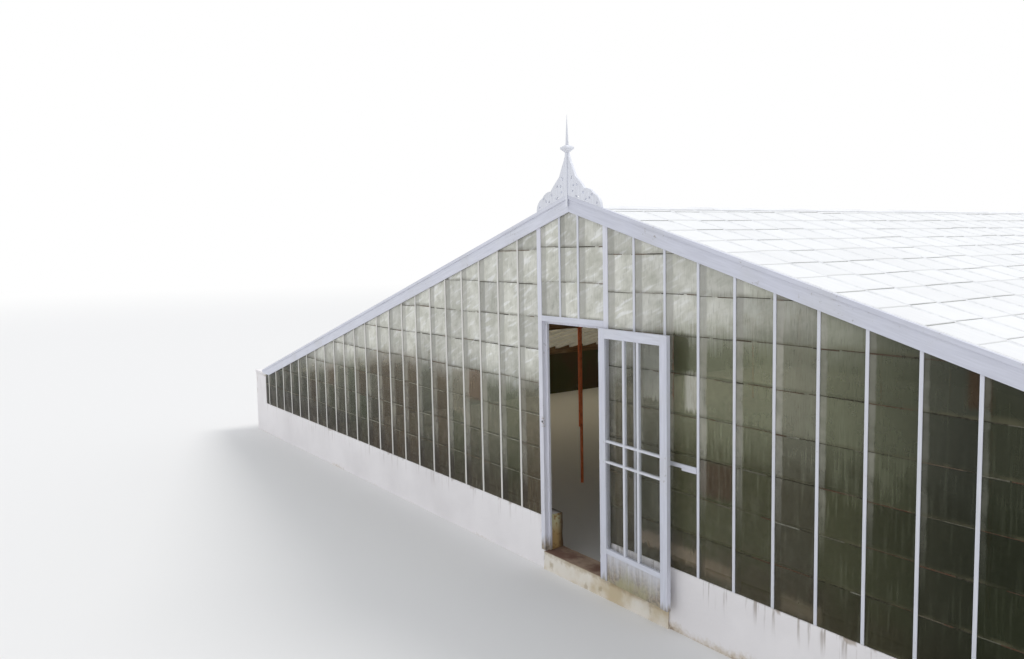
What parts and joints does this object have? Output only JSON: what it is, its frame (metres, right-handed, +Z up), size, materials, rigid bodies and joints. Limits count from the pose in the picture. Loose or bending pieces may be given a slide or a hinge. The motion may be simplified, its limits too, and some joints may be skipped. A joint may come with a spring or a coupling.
{
  "type": "glass greenhouse",
  "caption": "Long low glasshouse with masonry plinth and eaves walls, timber glazing bars, lapped panes, a shallow gable roof, a pierced finial and a hinged glazed door.",
  "frame": {"origin": "foot of the front wall, on the doorway's middle line, at the wall's outer face", "axes": "+Z up, +X to the right along the front gable, +Y back along the ridge"},
  "size_m": [16.144, 12.1186, 3.824],
  "materials": {
    "masonry": "whitewashed lime plaster",
    "sill_stone": "weathered plaster",
    "white_paint": "weathered white paint",
    "plain_timber": "bare weathered timber",
    "gable_glass": "dirty horticultural glass",
    "roof_glass": "limewashed horticultural glass",
    "post_iron": "worn red paint",
    "painted_iron": "white paint over iron"
  },
  "bodies": {
    "building": {"plinth_right": "masonry", "plinth_left": "masonry", "door_sill": "sill_stone", "back_plinth": "masonry", "eaves_wall_right": "masonry", "eaves_wall_left": "masonry", "wall_plates": "plain_timber", "front_bars_right": "white_paint", "front_bars_left": "white_paint", "front_glass_right": "gable_glass", "front_glass_left": "gable_glass", "over_door_bars": "white_paint", "over_door_glass": "gable_glass", "back_bars": "white_paint", "back_glass": "gable_glass", "door_jamb_right": "white_paint", "door_jamb_left": "white_paint", "door_lintel": "white_paint", "door_stops": "white_paint", "latch_keep": "painted_iron", "door_stay": "white_paint", "ridge_board": "plain_timber", "ridge_cap": "white_paint", "end_rafters_front": "white_paint", "end_rafters_back": "white_paint", "purlins": "plain_timber", "posts_right": "post_iron", "posts_left": "post_iron", "tie_beams": "plain_timber", "king_posts": "plain_timber", "roof_bars_right": "white_paint", "roof_bars_left": "white_paint", "roof_glass_right": "roof_glass", "roof_glass_left": "roof_glass", "front_bargeboard_right": "white_paint", "front_bargeboard_left": "white_paint", "back_bargeboards": "white_paint", "finial_board": "white_paint", "finial_post": "white_paint", "finial_cap": "white_paint", "finial_spike": "white_paint", "hinge_jamb_halves": "painted_iron"},
    "door": {"door_stiles": "white_paint", "door_rails": "white_paint", "door_kick_panel": "white_paint", "door_glazing_bars": "white_paint", "door_glass": "gable_glass", "hinge_leaf_halves": "painted_iron"}
  },
  "joints": [
    {"name": "door_hinge", "type": "hinge", "parent": "building", "child": "door", "pos_m": [0.399, -0.009, 0.17], "axis": [0, 0, -1], "range_deg": [0, 176.9]}
  ]
}
